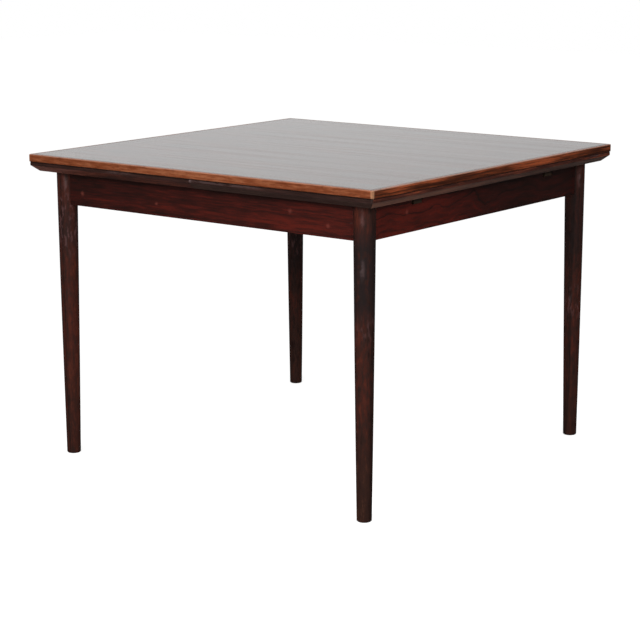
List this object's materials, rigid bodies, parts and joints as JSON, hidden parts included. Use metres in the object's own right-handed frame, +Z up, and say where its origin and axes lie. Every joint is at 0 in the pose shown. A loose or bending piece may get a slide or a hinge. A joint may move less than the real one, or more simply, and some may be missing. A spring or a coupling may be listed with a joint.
{
  "type": "draw-leaf dining table",
  "caption": "Square rosewood dining table with round tapered legs, a loose top and two leaves that draw out from under it on grooved runners.",
  "frame": {"origin": "on the floor, under the middle of the closed table", "axes": "+Z up, +X towards the end that the right leaf draws out of, along the grain of the top; -Y is the long side on the left of the picture and +X the side on its right"},
  "size_m": [1.005, 0.986, 0.73],
  "materials": {
    "veneer": "rosewood veneer under a glossy polish, grain along X",
    "rosewood": "solid red-brown rosewood, polished",
    "dark_rosewood": "dark figured rosewood, satin polish",
    "beech": "plain beech, planed and unpolished",
    "steel": "slotted countersunk wood screw, dull"
  },
  "bodies": {
    "frame": {"leg_front_left": "dark_rosewood", "leg_front_right": "dark_rosewood", "leg_back_left": "dark_rosewood", "leg_back_right": "dark_rosewood", "side_apron_front": "dark_rosewood", "side_apron_back": "dark_rosewood", "end_apron_left": "dark_rosewood", "end_apron_right": "dark_rosewood", "guide_rail_left": "beech", "guide_rail_right": "beech", "centre_bearer": "beech", "corner_block_front_left": "beech", "corner_block_front_right": "beech", "corner_block_back_left": "beech", "corner_block_back_right": "beech"},
    "top": {"top_field": "veneer", "top_lipping_front": "rosewood", "top_lipping_back": "rosewood", "top_lipping_left": "rosewood", "top_lipping_right": "rosewood", "top_peg_front": "beech", "top_peg_back": "beech"},
    "leaf_right": {"leaf_right_panel": "dark_rosewood", "leaf_right_lipping_front": "dark_rosewood", "leaf_right_lipping_back": "dark_rosewood", "leaf_right_lipping_end": "dark_rosewood", "leaf_right_lipping_inner": "dark_rosewood", "leaf_right_runner_front": "beech", "leaf_right_runner_back": "beech", "leaf_right_stop_front": "beech", "leaf_right_stop_back": "beech", "leaf_right_screw_front_1": "steel", "leaf_right_screw_front_2": "steel", "leaf_right_screw_front_3": "steel", "leaf_right_screw_back_1": "steel", "leaf_right_screw_back_2": "steel", "leaf_right_screw_back_3": "steel"},
    "leaf_left": {"leaf_left_panel": "dark_rosewood", "leaf_left_lipping_front": "dark_rosewood", "leaf_left_lipping_back": "dark_rosewood", "leaf_left_lipping_end": "dark_rosewood", "leaf_left_lipping_inner": "dark_rosewood", "leaf_left_runner_front": "beech", "leaf_left_runner_back": "beech", "leaf_left_stop_front": "beech", "leaf_left_stop_back": "beech", "leaf_left_screw_front_1": "steel", "leaf_left_screw_front_2": "steel", "leaf_left_screw_front_3": "steel", "leaf_left_screw_back_1": "steel", "leaf_left_screw_back_2": "steel", "leaf_left_screw_back_3": "steel"}
  },
  "joints": [
    {"name": "leaf_right_draw", "type": "slide", "parent": "frame", "child": "leaf_right", "axis": [1, 0, 0], "range_m": [0, 0.5032]},
    {"name": "leaf_left_draw", "type": "slide", "parent": "frame", "child": "leaf_left", "axis": [-1, 0, 0], "range_m": [0, 0.5032]},
    {"name": "top_lift", "type": "slide", "parent": "frame", "child": "top", "axis": [0, 0, 1], "range_m": [0, 0.025]}
  ]
}
